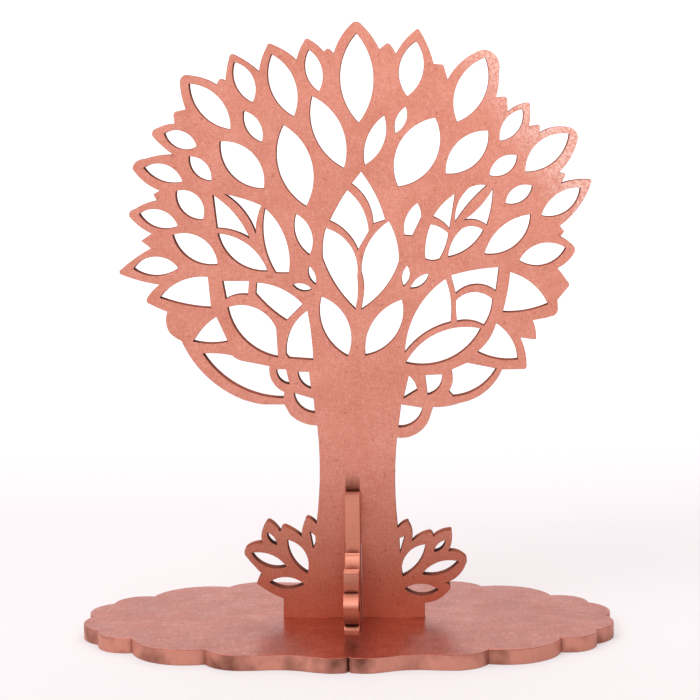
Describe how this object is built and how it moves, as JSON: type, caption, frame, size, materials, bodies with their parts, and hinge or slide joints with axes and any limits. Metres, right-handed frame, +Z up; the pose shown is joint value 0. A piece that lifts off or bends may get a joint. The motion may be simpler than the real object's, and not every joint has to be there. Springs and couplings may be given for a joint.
{
  "type": "jewellery tree",
  "caption": "Slot-together fretwork tree panel with leaf openings for hanging jewellery, crossed by a leafy brace and standing in a scalloped oval base.",
  "frame": {"origin": "centre of the base's underside, on the table top", "axes": "+Z up, +X to the right along the tree panel, -Y towards the viewer"},
  "size_m": [0.2134, 0.1264, 0.2447],
  "materials": {
    "base_paint": "rose-gold paint on fibreboard, satin",
    "brace_paint": "rose-gold paint on fibreboard, satin",
    "tree_paint": "rose-gold paint on fibreboard, satin"
  },
  "bodies": {
    "base": {"base_plate": "base_paint"},
    "brace": {"cross_brace": "brace_paint"},
    "tree": {"tree_panel": "tree_paint"}
  },
  "joints": [
    {"name": "brace_lift", "type": "slide", "parent": "base", "child": "brace", "axis": [0, 0, 1], "range_m": [0, 0.012]},
    {"name": "tree_lift", "type": "slide", "parent": "brace", "child": "tree", "axis": [0, 0, 1], "range_m": [0, 0.065]}
  ]
}
